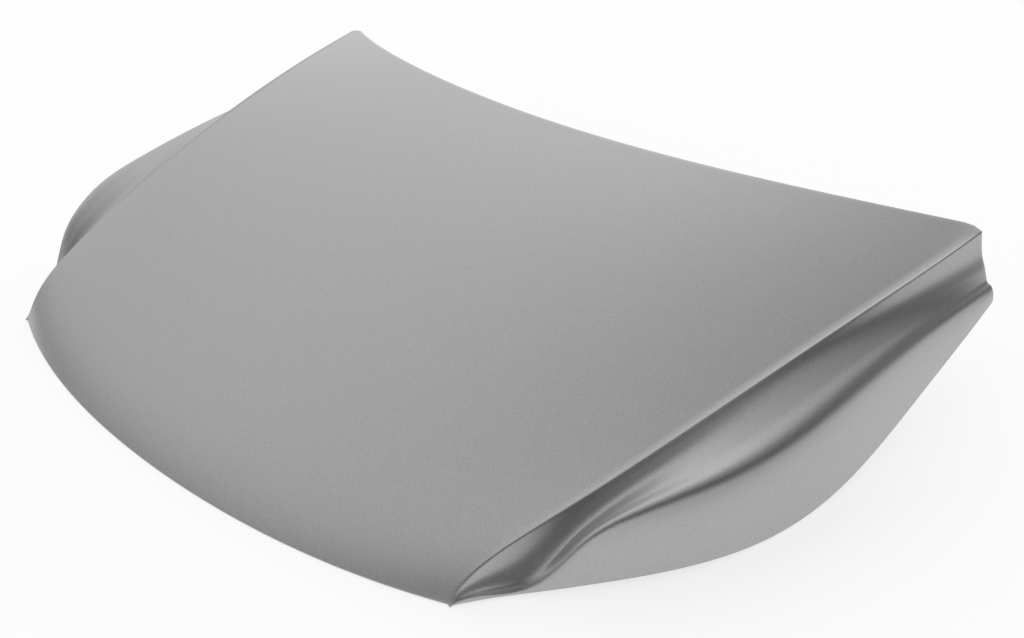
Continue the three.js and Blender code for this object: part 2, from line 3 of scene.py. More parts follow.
import bmesh
import bpy
import numpy as np
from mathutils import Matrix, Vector
from mathutils.bvhtree import BVHTree


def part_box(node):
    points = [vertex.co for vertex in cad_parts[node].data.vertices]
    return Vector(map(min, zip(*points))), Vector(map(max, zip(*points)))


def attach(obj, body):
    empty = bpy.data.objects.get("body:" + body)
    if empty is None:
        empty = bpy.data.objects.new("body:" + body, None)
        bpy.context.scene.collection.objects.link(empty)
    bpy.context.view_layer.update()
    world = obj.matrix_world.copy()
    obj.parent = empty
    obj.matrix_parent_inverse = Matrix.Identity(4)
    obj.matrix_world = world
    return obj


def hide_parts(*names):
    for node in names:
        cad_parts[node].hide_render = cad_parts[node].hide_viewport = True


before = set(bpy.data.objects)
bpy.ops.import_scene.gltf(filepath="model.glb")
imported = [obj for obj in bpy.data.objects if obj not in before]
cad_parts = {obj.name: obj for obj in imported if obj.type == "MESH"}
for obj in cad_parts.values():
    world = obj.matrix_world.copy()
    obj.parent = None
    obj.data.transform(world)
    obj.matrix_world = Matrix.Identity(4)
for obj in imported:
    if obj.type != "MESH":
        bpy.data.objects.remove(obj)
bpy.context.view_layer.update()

print("bonnet: frame loaded")

mm = 0.001

# the bonnet's form in millimetres, as its sheets are drawn
form = {
    "noseHalfWidth": 516, "cowlHalfWidth": 725, "sideLength": 931,
    "frontBow": 89, "rearBow": 172,
    "creaseBow": (26.5, 5.2, 8), "creaseRise": (21.9, -2.8, -5),
    "cornerRun": 30, "cornerDrop": 20.7, "cornerFade": 12,
    "cowlRise": 251, "cowlCrown": 35, "panelCrown": 8,
    "noseRoll": 41.4, "noseRollLength": 33, "noseRollMiddle": 0.45,
    "frontSquareness": 0.157, "rearSquareness": 0.362, "cowlSquareness": 1.197,
    "stations": [0, 0.05, 0.1, 0.15, 0.2, 0.3, 0.4, 0.6, 0.8, 1],
    "valleyOut": [2, 12, 24, 24, 22, 23, 24, 20, 17, 15.5],
    "valleyDown": [0, 28, 42, 29, 19, 14, 13, 18, 37, 56],
    "haunchOut": [3.5, 18, 37, 52, 65, 84, 87, 65, 38, 24],
    "haunchDown": [0, 39, 47, 10, -4, 0.5, 15, 36, 56, 78],
    "hemOut": [5, 19, 40, 61.5, 81, 107, 113, 91, 58.5, 38],
    "hemHeight": [0, 2, 4.5, 7, 8.5, 7.5, 3.5, 14, 68, 145],
    "footShare": (0.42, 0.6), "riseShare": (0.5, 0.54),
    "shoulderShare": (0.52, 0.16), "wallShare": (0.88, 0.53), "stepsPerKnot": 60,
    "offset": (0, -424.3675, 3.4971),   # from the drawing's zero to the frame's
}


def splineOf(values):   # natural cubic curve through one value per station
    x = np.array(form["stations"], float)
    y = np.array(values, float)
    n = len(x)
    h = np.diff(x)
    matrix = np.eye(n)
    load = np.zeros(n)
    for i in range(1, n - 1):
        matrix[i, i - 1:i + 2] = [h[i - 1], 2 * (h[i - 1] + h[i]), h[i]]
        load[i] = 6 * ((y[i + 1] - y[i]) / h[i] - (y[i] - y[i - 1]) / h[i - 1])
    bend = np.linalg.solve(matrix, load)

    def value(t):
        i = np.clip(np.searchsorted(x, t, side="right") - 1, 0, n - 2)
        b = (t - x[i]) / h[i]
        a = 1 - b
        curve = (a ** 3 - a) * bend[i] + (b ** 3 - b) * bend[i + 1]
        return a * y[i] + b * y[i + 1] + h[i] ** 2 / 6 * curve
    return value


flankLine = {name: splineOf(form[name]) for name in
             ("valleyOut", "valleyDown", "haunchOut", "haunchDown", "hemOut", "hemHeight")}


def bowed(u, squareness):
    return (1 - squareness) * u ** 2 + squareness * u ** 4


def arch(t, a):
    return 4 * t * (1 - t) * (a[0] + a[1] * (1 - 2 * t) + a[2] * (1 - 2 * t) ** 2)


def noseDrop(t):
    return form["noseRoll"] * (1 - np.exp(-t * form["sideLength"] / form["noseRollLength"])) * (1 - t)


def creaseX(t):
    return form["noseHalfWidth"] * (1 - t) + form["cowlHalfWidth"] * t + arch(t, form["creaseBow"])


def creaseZ(t):
    return form["cowlRise"] * t + arch(t, form["creaseRise"]) + noseDrop(t)


def frontY(u):
    return -form["frontBow"] * (1 - bowed(u, form["frontSquareness"]))


def rearY(u, t):
    run = form["cornerRun"]
    beyond = np.clip((np.abs(u) - 1) * form["cowlHalfWidth"] + run, 0, None) / run
    return (form["sideLength"] - form["rearBow"]
            + (form["rearBow"] + form["cornerDrop"]) * bowed(u, form["rearSquareness"])
            - form["cornerDrop"] * beyond ** 2 * t ** form["cornerFade"])


def panelPoint(u, t):
    cowl = form["cowlRise"] + form["cowlCrown"] * (1 - bowed(u, form["cowlSquareness"]))
    share = form["noseRollMiddle"] + (1 - form["noseRollMiddle"]) * u ** 4
    z = (cowl * t + arch(t, form["creaseRise"]) + noseDrop(t) * share
         + form["panelCrown"] * (1 - u ** 2) * 4 * t * (1 - t))
    return np.stack([u * creaseX(t), frontY(u) * (1 - t) + rearY(u, t) * t, z], -1)


def flankSection(t):   # line of (out, down) from the crease to the hem, and the run along it
    valley = np.array([flankLine["valleyOut"](t), flankLine["valleyDown"](t)])
    haunch = np.array([flankLine["haunchOut"](t), flankLine["haunchDown"](t)])
    hem = np.array([flankLine["hemOut"](t), creaseZ(t) - flankLine["hemHeight"](t)])
    crease = np.zeros(2)

    def between(a, b, share):
        return a + (b - a) * np.array(form[share])

    knots = np.array([
        crease, between(crease, valley, "footShare"), valley, between(valley, haunch, "riseShare"),
        haunch, between(haunch, hem, "shoulderShare"), between(haunch, hem, "wallShare"), hem])
    n = len(knots)
    fine = np.linspace(0, n - 1, form["stepsPerKnot"] * (n - 1) + 1)
    i = np.clip(fine.astype(int), 0, n - 2)
    f = (fine - i)[:, None]
    p0, p1 = knots[np.maximum(i - 1, 0)], knots[i]
    p2, p3 = knots[i + 1], knots[np.minimum(i + 2, n - 1)]
    bend = (2 * p0 - 5 * p1 + 4 * p2 - p3) + f * (3 * (p1 - p2) + p3 - p0)
    line = p1 + 0.5 * f * ((p2 - p0) + f * bend)
    run = np.concatenate([[0], np.cumsum(np.linalg.norm(np.diff(line, axis=0), axis=1))])
    return line, run


def flankPoints(t, s):   # points of the flank at t, at the runs s from the crease
    line, run = flankSection(t)
    out = np.interp(s, run, line[:, 0])
    down = np.interp(s, run, line[:, 1])
    return np.stack([creaseX(t) + out, np.full_like(s, form["sideLength"] * t), creaseZ(t) - down], -1)


def meshObject(name, points, faces, smooth=True):
    mesh = bpy.data.meshes.new(name)
    mesh.from_pydata(np.asarray(points, float).tolist(), [], faces)
    mesh.validate()
    mesh.update()
    if smooth:
        mesh.polygons.foreach_set("use_smooth", [True] * len(mesh.polygons))
    piece = bpy.data.objects.new(name, mesh)
    bpy.context.scene.collection.objects.link(piece)
    return piece


def sharpen(piece, angle):   # smooth faces, with edges sharper than the angle kept crisp
    work = bmesh.new()
    work.from_mesh(piece.data)
    for edge in work.edges:
        edge.smooth = len(edge.link_faces) == 2 and edge.calc_face_angle(0) < math.radians(angle)
    for face in work.faces:
        face.smooth = True
    work.to_mesh(piece.data)
    work.free()


def gridFaces(start, rows, columns, flip=False):
    ids = start + np.arange(rows * columns).reshape(rows, columns)
    quads = np.stack([ids[:-1, :-1], ids[:-1, 1:], ids[1:, 1:], ids[1:, :-1]], -1).reshape(-1, 4)
    return (quads[:, ::-1] if flip else quads).tolist()


def gridNormals(grid):
    n = np.cross(np.gradient(grid, axis=1), np.gradient(grid, axis=0))
    return n / np.linalg.norm(n, axis=-1, keepdims=True)


def edgeLoop(rows, columns):   # anticlockwise from above
    return ([(0, j) for j in range(columns - 1)] + [(i, columns - 1) for i in range(rows - 1)]
            + [(rows - 1, j) for j in range(columns - 1, 0, -1)] + [(i, 0) for i in range(rows - 1, 0, -1)])


def evened(values, passes):   # evened along a closed loop
    for _ in range(passes):
        values = 0.25 * np.roll(values, 1, 0) + 0.5 * values + 0.25 * np.roll(values, -1, 0)
    return values


# outer skin, hemmed round its whole edge
skin = {
    "rows": 150, "across": 112, "flank": 74, "crease": 7,
    "rowPower": 1.3,
    "creaseWidth": 2.4, "creaseCorner": 4.0, "creaseCornerLength": 0.03,
    "creaseShareMost": 0.35,   # of a low flank's height
    "thickness": 0.8, "stack": 3.5, "hemWidth": 11, "hemShareMost": 0.33, "hemTurns": 8,
}


def skinRow(t):
    length = flankSection(t)[1][-1]
    width = skin["creaseWidth"] + skin["creaseCorner"] * math.exp(-t / skin["creaseCornerLength"])
    width = min(width, skin["creaseShareMost"] * length)
    inner = 1 - width / creaseX(t)
    middle = panelPoint(np.linspace(-inner, inner, skin["across"]), np.full(skin["across"], t))
    flank = flankPoints(t, np.linspace(width, length, skin["flank"]))
    corner = np.array([creaseX(t), form["sideLength"] * t, creaseZ(t)])
    f = np.linspace(0, 1, skin["crease"] + 2)[1:-1, None]
    fillet = (1 - f) ** 2 * middle[-1] + 2 * f * (1 - f) * corner + f ** 2 * flank[0]
    half = np.concatenate([fillet, flank])
    return np.concatenate([half[::-1] * np.array([-1, 1, 1]), middle, half])


def outerSkin():
    rows = np.linspace(0, 1, skin["rows"]) ** skin["rowPower"]
    grid = np.array([skinRow(t) for t in rows])
    normals = gridNormals(grid)
    count = grid.shape[:2]
    loop = edgeLoop(*count)
    at = tuple(np.array(loop).T)
    edge = grid[at]
    edgeNormal = evened(normals[at], 3)
    edgeNormal /= np.linalg.norm(edgeNormal, axis=1, keepdims=True)
    steps = (edge - np.roll(edge, 1, 0), np.roll(edge, -1, 0) - edge)
    outs = [np.cross(step, edgeNormal) for step in steps]
    out = sum(o / np.linalg.norm(o, axis=1, keepdims=True) for o in outs)
    out = evened(out / np.linalg.norm(out, axis=1, keepdims=True), 2)
    out /= np.linalg.norm(out, axis=1, keepdims=True)
    flange = np.full(len(loop), float(skin["hemWidth"]))
    for k, (i, j) in enumerate(loop):   # a narrower flange where the flank is low
        if j in (0, count[1] - 1):
            length = np.linalg.norm(np.diff(grid[i, -skin["flank"]:], axis=0), axis=1).sum()
            flange[k] = min(skin["hemWidth"], skin["hemShareMost"] * length)
    flange = evened(flange, 4)[:, None]
    stack, sheet = skin["stack"], skin["thickness"]
    radius = stack / 2
    bands = []
    for turn in np.linspace(0, math.pi, skin["hemTurns"])[1:]:
        sideways, down = radius * math.sin(turn), radius * (1 - math.cos(turn))
        bands.append(edge + out * sideways - edgeNormal * down)
    bands.append(edge - out * flange - edgeNormal * stack)
    bands.append(edge - out * flange - edgeNormal * (stack - sheet))
    bands.append(edge - edgeNormal * (stack - sheet))
    under = grid - normals * sheet
    points = np.concatenate([grid.reshape(-1, 3)] + bands + [under.reshape(-1, 3)])
    total = count[0] * count[1]
    lowerStart = total + len(bands) * len(loop)
    faces = gridFaces(0, *count) + gridFaces(lowerStart, *count, flip=True)
    flat = np.array([i * count[1] + j for i, j in loop])
    ring = total + np.arange(len(loop))
    rings = [flat] + [ring + k * len(loop) for k in range(len(bands))] + [lowerStart + flat]
    for a, b in zip(rings, rings[1:]):
        faces += np.stack([a, b, np.roll(b, -1), np.roll(a, -1)], -1).tolist()
    return meshObject("outer_panel", (points + np.array(form["offset"])) * mm, faces)


outerPanel = outerSkin()
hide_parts("outer_skin")
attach(outerPanel, "root")
print("bonnet: outer panel made,", len(outerPanel.data.polygons), "faces")


# inner panel: fields, ribs and channels pressed to different depths below the skin
inner = {
    "rows": 120, "across": 150, "flank": 34,
    "clearance": 0.6, "thickness": 0.7, "inset": 1.5,
    "strip": 15, "stripStart": 0.9, "frontStrip": 0.015, "rearStrip": 0.984,
    "fieldDepth": 6, "channelDepth": 20, "shoulderDepth": 12, "flankDepth": 14,
    "flankLean": math.radians(58), "wallSlope": 0.8,
    "sideChannel": (0.78, 0.8, 0.93, 0.95), "ribs": (0, 0.4), "ribTop": 0.02, "ribFoot": 0.045,
    "frontChannel": (-1, 0, 0.19, 0.21), "middleRib": (0.48, 0.5, 0.56, 0.58),
    "rearChannel": (0.8, 0.83, 1, 2), "beyondZones": 9,
    "hingeSeatAcross": (0.78, 0.8, 0.93, 0.95), "hingeSeatAlong": (0.8, 0.83, 0.955, 0.984),
    "hingeSeatPlace": (0.865, 0.8925, 24),   # across, along and how far below the skin
    "latchSeatAcross": (-1, 0, 0.1, 0.15), "latchSeatAlong": (0.09, 0.12, 0.19, 0.21),
    "latchSeatPlace": (0, 0.155, 20),
    "cornerRelief": 16, "softening": 2,
}
holes = {
    "bayWidth": 124, "bayMargin": 0.035, "bayRadius": 30,
    "baySpans": ((0.045, 0.355), (0.445, 0.78)), "bayRanges": ((0.21, 0.48), (0.58, 0.8)),
    "toolingRadius": 12, "sideTooling": (0.29, 0.41, 0.69), "rearTooling": ((0.2, 0.89), (0.57, 0.89)),
    "hingeBoltPitch": 60, "hingeBoltRadius": 4.6, "strikerBoltPitch": 72, "strikerBoltRadius": 3.6,
    "boltHoleSteps": 24,
    "lipBend": 2.2, "lipDepth": 5.5, "toolingLipBend": 1.2, "toolingLipDepth": 2.6,
    "lipStep": 4, "toolingLipStep": 2, "fewestSteps": 24,
    "lipOverlap": 1.2, "lipFeather": 0.03,   # how a lip's root runs into the sheet
    "cutLow": -50, "cutHigh": 600,
}


def ramp(x, limits):   # 0 outside the zone, 1 inside, with a soft rise and fall
    start, top, topEnd, end = limits
    rise = np.clip(np.minimum((x - start) / (top - start), (end - x) / (end - topEnd)), 0, 1)
    return rise * rise * (3 - 2 * rise)


def seatHeight(place):
    return panelPoint(np.array(place[0], float), np.array(place[1], float))[2] - place[2]


def innerSheet():
    main = np.linspace(inner["frontStrip"], inner["rearStrip"], inner["rows"])
    rows = np.concatenate([[0, inner["frontStrip"] / 2], main, [1]])
    bands = ("frontChannel", "middleRib", "rearChannel")
    ribs = [(c - inner["ribFoot"], c - inner["ribTop"], c + inner["ribTop"], c + inner["ribFoot"])
            for c in inner["ribs"]]
    start, closeBy = inner["stripStart"], 0.001
    u = np.linspace(-1, 1, inner["across"])
    grid, depths, held, ways = [], [], [], []
    for t in rows:
        length = flankSection(t)[1][-1]
        strip = min(inner["strip"], 0.45 * length)
        stripAt = length - strip
        s = np.concatenate([np.linspace(0, stripAt, inner["flank"])[1:], [length - strip / 2, length]])
        v = np.where(s < stripAt, start * s / stripAt, start + (1 - start) * (s - stripAt) / strip)
        side = flankPoints(t, s)
        middle = panelPoint(u, np.full(len(u), t))
        row = np.concatenate([side[::-1] * np.array([-1, 1, 1]), middle, side])
        across = np.concatenate([-1 - v[::-1], u, 1 + v])
        a = np.abs(across)
        zone = np.maximum.reduce(
            [ramp(a, inner["sideChannel"])] + [ramp(a, rib) for rib in ribs]
            + [np.full(len(a), ramp(t, inner[name])) for name in bands])
        base = np.where(a > inner["sideChannel"][2], inner["shoulderDepth"], inner["fieldDepth"])
        depth = base + (inner["channelDepth"] - base) * zone
        depth = np.where(a > 1, inner["flankDepth"], depth)
        turn = inner["flankLean"] * np.clip(a - 1, 0, None)
        ways.append(np.stack([-np.sign(across) * np.sin(turn), 0 * turn, -np.cos(turn)], -1))
        grid.append(row)
        depths.append(depth)
        outer = a >= 1 + start - closeBy
        held.append(outer | (t <= inner["frontStrip"]) | (t >= inner["rearStrip"]))
    grid, depths, held, ways = np.array(grid), np.array(depths), np.array(held), np.array(ways)
    front, rear = np.argmax(rows >= inner["frontStrip"]), np.argmax(rows >= inner["rearStrip"])
    near = 2   # columns of the strip at each side
    borders = (grid[front], grid[rear], grid[:, near:near + 1], grid[:, -1 - near:-near])
    gaps = [np.linalg.norm(grid - border, axis=-1) for border in borders]
    room = inner["wallSlope"] * np.minimum.reduce(gaps)
    depths = np.where(held, 0, np.minimum(depths, room))
    for _ in range(inner["softening"]):
        padded = np.pad(depths, 1, mode="edge")
        around = padded[:-2, 1:-1] + padded[2:, 1:-1] + padded[1:-1, :-2] + padded[1:-1, 2:]
        mean = (4 * padded[1:-1, 1:-1] + around) / 8
        depths = np.where(held, 0, mean)
    normals = gridNormals(grid)
    upper = grid - normals * (skin["thickness"] + inner["clearance"]) + ways * depths[..., None]
    beyond = np.full(inner["flank"] + 1, float(inner["beyondZones"]))
    across = np.abs(np.concatenate([beyond, u, beyond]))
    for name in ("hingeSeat", "latchSeat"):
        share = ramp(across, inner[name + "Across"])[None] * ramp(rows, inner[name + "Along"])[:, None]
        upper[..., 2] += (seatHeight(inner[name + "Place"]) - upper[..., 2]) * share
    count = grid.shape[:2]
    loop = edgeLoop(*count)
    flat = np.array([i * count[1] + j for i, j in loop])
    at = tuple(np.array(loop).T)
    edge, edgeNormal = upper[at], normals[at]
    out = np.cross(np.roll(edge, -1, 0) - np.roll(edge, 1, 0), edgeNormal)
    out /= np.linalg.norm(out, axis=1, keepdims=True)
    upper[at] -= out * inner["inset"]
    own = gridNormals(upper)
    own[held] = normals[held]
    lower = upper - own * inner["thickness"]
    points = np.concatenate([upper.reshape(-1, 3), lower.reshape(-1, 3)])
    total = count[0] * count[1]
    faces = gridFaces(0, *count) + gridFaces(total, *count, flip=True)
    faces += np.stack([flat, flat + total, np.roll(flat, -1) + total, np.roll(flat, -1)], -1).tolist()
    return points, faces


def plan(u, t):
    return panelPoint(np.array(u, float), np.array(t, float))[:2]


def roundHole(centre, radius, count=48):
    turn = np.linspace(0, 2 * math.pi, count, endpoint=False)
    return np.asarray(centre) + radius * np.stack([np.cos(turn), np.sin(turn)], -1)


def bayHole(side, span, limits):
    u = side * (span[0] + span[1]) / 2
    ends = [plan(u, limits[0] + holes["bayMargin"]), plan(u, limits[1] - holes["bayMargin"])]
    half = holes["bayWidth"] / 2
    corners = [ends[0] + (-half, 0), ends[0] + (half, 0), ends[1] + (half, 0), ends[1] + (-half, 0)]
    line = []
    for k, corner in enumerate(corners):
        before, after = corners[k - 1], corners[(k + 1) % 4]
        a = corner + (before - corner) / np.linalg.norm(before - corner) * holes["bayRadius"]
        b = corner + (after - corner) / np.linalg.norm(after - corner) * holes["bayRadius"]
        f = np.linspace(0, 1, 11)[:, None]
        line += list((1 - f) ** 2 * a + 2 * f * (1 - f) * corner + f ** 2 * b)
    return np.array(line)


def prism(outline, low, high):
    n = len(outline)
    points = np.concatenate([np.c_[outline, np.full(n, low)], np.c_[outline, np.full(n, high)]])
    faces = [list(range(n))[::-1], list(range(n, 2 * n))]
    faces += [(k, (k + 1) % n, n + (k + 1) % n, n + k) for k in range(n)]
    return points, faces


def cutAway(piece, cutters):   # takes prisms out of a closed mesh
    points, faces = [], []
    for p, f in cutters:
        faces += [[k + sum(len(q) for q in points) for k in face] for face in f]
        points.append(p)
    tool = meshObject("cutter", np.concatenate(points) * mm, faces, smooth=False)
    cut = piece.modifiers.new("holes", "BOOLEAN")
    cut.operation = "DIFFERENCE"
    cut.solver = "MANIFOLD"
    cut.object = tool
    bpy.context.view_layer.update()
    done = bpy.data.meshes.new_from_object(piece.evaluated_get(bpy.context.evaluated_depsgraph_get()))
    piece.modifiers.clear()
    piece.data = done
    bpy.data.objects.remove(tool)


def spaced(outline, step):   # the outline again, with points at even steps
    closed = np.concatenate([outline, outline[:1]])
    run = np.concatenate([[0], np.cumsum(np.linalg.norm(np.diff(closed, axis=0), axis=1))])
    at = np.linspace(0, run[-1], max(holes["fewestSteps"], int(run[-1] / step)), endpoint=False)
    return np.stack([np.interp(at, run, closed[:, 0]), np.interp(at, run, closed[:, 1])], -1)


def outward(outline):
    tangent = np.roll(outline, -1, 0) - np.roll(outline, 1, 0)
    tangent /= np.linalg.norm(tangent, axis=1, keepdims=True)
    return np.stack([tangent[:, 1], -tangent[:, 0]], -1)


def lipRing(outline, bend, depth, tree):   # a flange turned down round a hole, with a rolled root
    sheet = inner["thickness"]
    root = bend + sheet
    away = outward(outline)
    z = []
    for x, y in outline + away * (root + 1):
        hit = tree.ray_cast(Vector((x, y, holes["cutHigh"])), Vector((0, 0, -1)))[0]
        z.append(hit.z if hit else z[-1])
    z = evened(np.array(z), 2)
    turns = np.linspace(0, math.pi / 2, 6)
    end, feather = root + holes["lipOverlap"], holes["lipFeather"]
    profile = [(end, feather)]
    profile += [(root - root * math.sin(a), root - root * math.cos(a)) for a in turns]
    profile += [(0, depth), (sheet, depth)]
    profile += [(root - bend * math.sin(a), root - bend * math.cos(a)) for a in turns[::-1]]
    profile += [(end, sheet - feather)]
    n = len(outline)
    points = np.concatenate([np.c_[outline + away * a, z - b] for a, b in profile])
    faces = []
    for k in range(len(profile)):
        a, b = k * n, (k + 1) % len(profile) * n
        faces += [(a + i, a + (i + 1) % n, b + (i + 1) % n, b + i) for i in range(n)]
    return points, faces


def innerPanel():
    bays = [bayHole(side, span, limits)
            for side in (-1, 1) for span in holes["baySpans"] for limits in holes["bayRanges"]]
    channel = (inner["sideChannel"][0] + inner["sideChannel"][3]) / 2
    spots = [plan(side * channel, t) for side in (-1, 1) for t in holes["sideTooling"]]
    spots += [plan(side * u, t) for side in (-1, 1) for u, t in holes["rearTooling"]]
    tooling = [roundHole(spot, holes["toolingRadius"]) for spot in spots]
    seat = plan(*inner["hingeSeatPlace"][:2])
    latch = plan(*inner["latchSeatPlace"][:2])
    reach, count = holes["hingeBoltPitch"] / 2, holes["boltHoleSteps"]
    bolts = [roundHole((side * seat[0], seat[1] + end * reach), holes["hingeBoltRadius"], count)
             for side in (-1, 1) for end in (-1, 1)]
    reach = holes["strikerBoltPitch"] / 2
    bolts += [roundHole((side * reach, latch[1]), holes["strikerBoltRadius"], count) for side in (-1, 1)]
    ends = [flankPoints(t, flankSection(t)[1][-1:])[0] for t in (0, 1)]
    reliefs = [roundHole((side * end[0], end[1]), inner["cornerRelief"])
               for side in (-1, 1) for end in ends]
    points, faces = innerSheet()
    offset = np.array(form["offset"])
    piece = meshObject("inner_sheet", (points + offset) * mm, faces)
    tree = BVHTree.FromPolygons(points.tolist(), faces)
    lips = []
    for lines, kind in ((bays, "lip"), (tooling, "toolingLip")):
        step, bend, depth = (holes[kind + part] for part in ("Step", "Bend", "Depth"))
        for k, line in enumerate(lines):
            line = spaced(line, step)
            lips.append(lipRing(line, bend, depth, tree))
            lines[k] = line + outward(line) * (bend + inner["thickness"])
    outlines = bays + tooling + bolts + reliefs
    cutters = [prism(outline, holes["cutLow"], holes["cutHigh"]) for outline in outlines]
    cutAway(piece, [(p + offset, f) for p, f in cutters])
    work = bmesh.new()
    work.from_mesh(piece.data)
    for p, f in lips:
        corners = [work.verts.new(q) for q in (p + offset) * mm]
        for face in f:
            work.faces.new([corners[k] for k in face])
    work.to_mesh(piece.data)
    work.free()
    sharpen(piece, 50)
    return piece


innerSkin = innerPanel()
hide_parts("inner_panel")
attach(innerSkin, "root")
print("bonnet: inner panel made,", len(innerSkin.data.polygons), "faces")


# striker: a bent round wire, welded to its plate
striker = {"wireRadius": 4.0, "halfWidth": 18.0, "bend": 11.0, "aroundWire": 32, "aroundBend": 14,
           "weldSpread": 2.2, "weldHeight": 2.6,
           "weldSteps": 6, "weldSink": 0.3, "weldGap": 0.02}


def strikerPath(height):   # centre line of the wire, and its heading, from leg to leg
    r, x = striker["bend"], striker["halfWidth"]
    turn = np.linspace(0, math.pi / 2, striker["aroundBend"])
    left = np.stack([-x + r - r * np.cos(turn), -height + r - r * np.sin(turn)], -1)
    heading = np.stack([np.sin(turn), -np.cos(turn)], -1)
    line = np.concatenate([[(-x, 0)], left, left[::-1] * (-1, 1), [(x, 0)]])
    heading = np.concatenate([[(0, -1)], heading, heading[::-1] * (1, -1), [(0, 1)]])
    return line, heading


def strikerWire():
    low, high = (np.array(corner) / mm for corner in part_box("striker_loop"))
    radius = striker["wireRadius"]
    line, heading = strikerPath(high[2] - low[2] - radius)
    turn = np.linspace(0, 2 * math.pi, striker["aroundWire"], endpoint=False)
    middle = np.array([(low[0] + high[0]) / 2, (low[1] + high[1]) / 2, high[2]])
    rings = []
    for (x, z), (dx, dz) in zip(line, heading):
        side = np.array([-dz, 0, dx])
        ring = np.cos(turn)[:, None] * side + np.sin(turn)[:, None] * (0, 1, 0)
        rings.append(middle + (x, 0, z) + radius * ring)
    n = striker["aroundWire"]
    faces = [list(range(n)), list(range((len(rings) - 1) * n, len(rings) * n))[::-1]]
    for k in range(len(rings) - 1):
        a, b = k * n, (k + 1) * n
        faces += [(a + (i + 1) % n, a + i, b + i, b + (i + 1) % n) for i in range(n)]
    points = np.concatenate(rings)
    for side in (-1, 1):   # a bead of weld round each leg's root
        centre = middle + (side * striker["halfWidth"], 0, 0)
        start = len(points)
        share = np.linspace(0, 1, striker["weldSteps"])
        sink = striker["weldSink"]   # the bead's lower end lies inside the wire
        for f in share:
            ring = radius - sink + (striker["weldSpread"] + sink) * (1 - f) ** 2
            down = striker["weldGap"] + striker["weldHeight"] * f
            points = np.concatenate([points, centre + np.stack(
                [ring * np.cos(turn), ring * np.sin(turn), np.full(n, -down)], -1)])
        for k in range(len(share) - 1):
            a, b = start + k * n, start + (k + 1) * n
            faces += [(a + i, b + i, b + (i + 1) % n, a + (i + 1) % n) for i in range(n)]
        last = start + (len(share) - 1) * n
        faces += [list(range(start, start + n)), list(range(last, last + n))[::-1]]
    return meshObject("striker_wire", points * mm, faces)


strikerBow = strikerWire()
sharpen(strikerBow, 40)
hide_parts("striker_loop")
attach(strikerBow, "root")
print("bonnet: striker wire made")


# finishes: a fine grain shades the colour and the roughness of each
def newMaterial(name):
    material = bpy.data.materials.new(name)
    material.use_nodes = True
    nodes = material.node_tree.nodes
    return material, nodes, material.node_tree.links, nodes["Principled BSDF"]


paint = {
    "colour": (0.5, 0.502, 0.505), "metallic": 0.92, "roughness": 0.42, "roughSpread": 0.05,
    "grain": 520, "grainDetail": 3, "grainRange": (0.3, 0.7), "shade": 0.13,
    "coat": 0.15, "coatRoughness": 0.12,
}
primer = {
    "colour": (0.42, 0.425, 0.43), "metallic": 0.6, "roughness": 0.48, "roughSpread": 0.08,
    "grain": 60, "grainDetail": 5, "grainRange": (0, 1), "shade": 0.08,
}
zinc = {
    "colour": (0.62, 0.6, 0.54), "metallic": 1.0, "roughness": 0.36, "roughSpread": 0.08,
    "grain": 220, "grainDetail": 5, "grainRange": (0, 1), "shade": 0.14,
}
mastic = {
    "colour": (0.03, 0.03, 0.033), "metallic": 0.0, "roughness": 0.8, "roughSpread": 0.08,
    "grain": 300, "grainDetail": 5, "grainRange": (0, 1), "shade": 0.3,
}


def spreadOver(nodes, links, grain, limits, middle, spread):   # middle, more or less the spread
    given = nodes.new("ShaderNodeMapRange")
    given.inputs["From Min"].default_value = limits[0]
    given.inputs["From Max"].default_value = limits[1]
    given.inputs["To Min"].default_value = middle - spread
    given.inputs["To Max"].default_value = middle + spread
    links.new(grain, given.inputs["Value"])
    return given.outputs["Result"]


def grained(name, look):
    material, nodes, links, shader = newMaterial(name)
    shader.inputs["Metallic"].default_value = look["metallic"]
    if "coat" in look:
        shader.inputs["Coat Weight"].default_value = look["coat"]
        shader.inputs["Coat Roughness"].default_value = look["coatRoughness"]
    place = nodes.new("ShaderNodeTexCoord")
    noise = nodes.new("ShaderNodeTexNoise")
    noise.inputs["Scale"].default_value = look["grain"]
    noise.inputs["Detail"].default_value = look["grainDetail"]
    links.new(place.outputs["Object"], noise.inputs["Vector"])
    grain, limits = noise.outputs["Fac"], look["grainRange"]
    colour = nodes.new("ShaderNodeVectorMath")
    colour.operation = "SCALE"
    colour.inputs[0].default_value = look["colour"]
    links.new(spreadOver(nodes, links, grain, limits, 1, look["shade"]), colour.inputs["Scale"])
    links.new(colour.outputs["Vector"], shader.inputs["Base Color"])
    rough = spreadOver(nodes, links, grain, limits, look["roughness"], look["roughSpread"])
    links.new(rough, shader.inputs["Roughness"])
    return material


silverPaint = grained("silverPaint", paint)
primedSteel = grained("primedSteel", primer)
zincPlate = grained("zincPlate", zinc)
masticBead = grained("masticBead", mastic)
outerPanel.data.materials.append(silverPaint)
innerSkin.data.materials.append(primedSteel)
strikerBow.data.materials.append(zincPlate)

# rounding of the small parts' edges: width in metres, and steps
rounded = {"mastic": (0.0012, 3), "metal": (0.0003, 2), "fromAngle": math.radians(40)}

for name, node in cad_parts.items():
    if name in ("outer_skin", "inner_panel", "striker_loop"):
        continue
    soft = name.startswith("mastic")
    node.data.materials.clear()
    node.data.materials.append(masticBead if soft else zincPlate)
    node.modifiers.new("joinedFaces", "WELD")
    rounding = node.modifiers.new("roundedEdges", "BEVEL")
    rounding.width, rounding.segments = rounded["mastic" if soft else "metal"]
    rounding.limit_method = "ANGLE"
    rounding.angle_limit = rounded["fromAngle"]
print("bonnet: finishes set")


# floor: lit paper that also glows to the camera, so that it shows white
studio = {"floorSize": 12.0, "floorGlow": 0.72, "floorShade": 0.5, "floorRoughness": 0.9}


